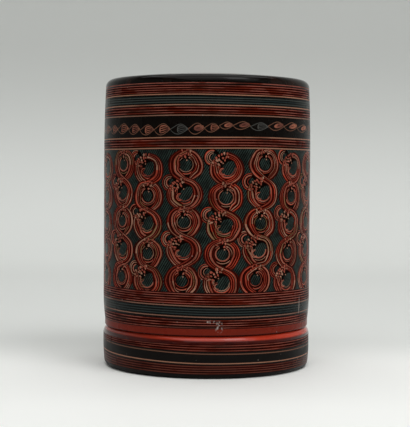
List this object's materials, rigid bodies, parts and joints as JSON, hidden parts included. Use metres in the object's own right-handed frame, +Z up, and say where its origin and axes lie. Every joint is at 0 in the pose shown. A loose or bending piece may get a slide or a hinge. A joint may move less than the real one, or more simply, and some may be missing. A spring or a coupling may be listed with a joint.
{
  "type": "betel box",
  "caption": "Tall round lacquered betel box: a deep domed cover slides over an inner drum that holds stacked trays, and rests on a wider base collar with a rounded shoulder.",
  "frame": {"origin": "centre of the standing ring, at the level of the table", "axes": "+Z up along the box's axis, towards the domed crown; -Y is the side that the picture shows"},
  "size_m": [0.11, 0.11, 0.1544],
  "materials": {
    "incised_lacquer": "black lacquer on bamboo, incised and filled with red, ochre and green, polished",
    "black_lacquer": "polished black lacquer on coiled bamboo",
    "red_lacquer": "polished dark red lacquer on bamboo",
    "orange_lacquer": "polished orange-red lacquer on bamboo"
  },
  "bodies": {
    "base": {"base_collar": "incised_lacquer", "base_plate": "black_lacquer", "drum_wall": "orange_lacquer", "drum_lip": "red_lacquer", "tray_ledge": "red_lacquer"},
    "lower_tray": {"lower_tray_floor": "black_lacquer", "lower_tray_wall": "orange_lacquer", "lower_tray_rim": "red_lacquer"},
    "upper_tray": {"upper_tray_floor": "black_lacquer", "upper_tray_wall": "orange_lacquer", "upper_tray_rim": "red_lacquer"},
    "cover": {"cover_wall": "incised_lacquer", "cover_crown": "black_lacquer", "cover_mouth_hoop": "red_lacquer"}
  },
  "joints": [
    {"name": "lower_tray_lift", "type": "slide", "parent": "base", "child": "lower_tray", "axis": [0, 0, 1], "range_m": [0, 0.07]},
    {"name": "upper_tray_lift", "type": "slide", "parent": "lower_tray", "child": "upper_tray", "axis": [0, 0, 1], "range_m": [0, 0.04]},
    {"name": "cover_lift", "type": "slide", "parent": "upper_tray", "child": "cover", "axis": [0, 0, 1], "range_m": [0, 0.125]}
  ]
}
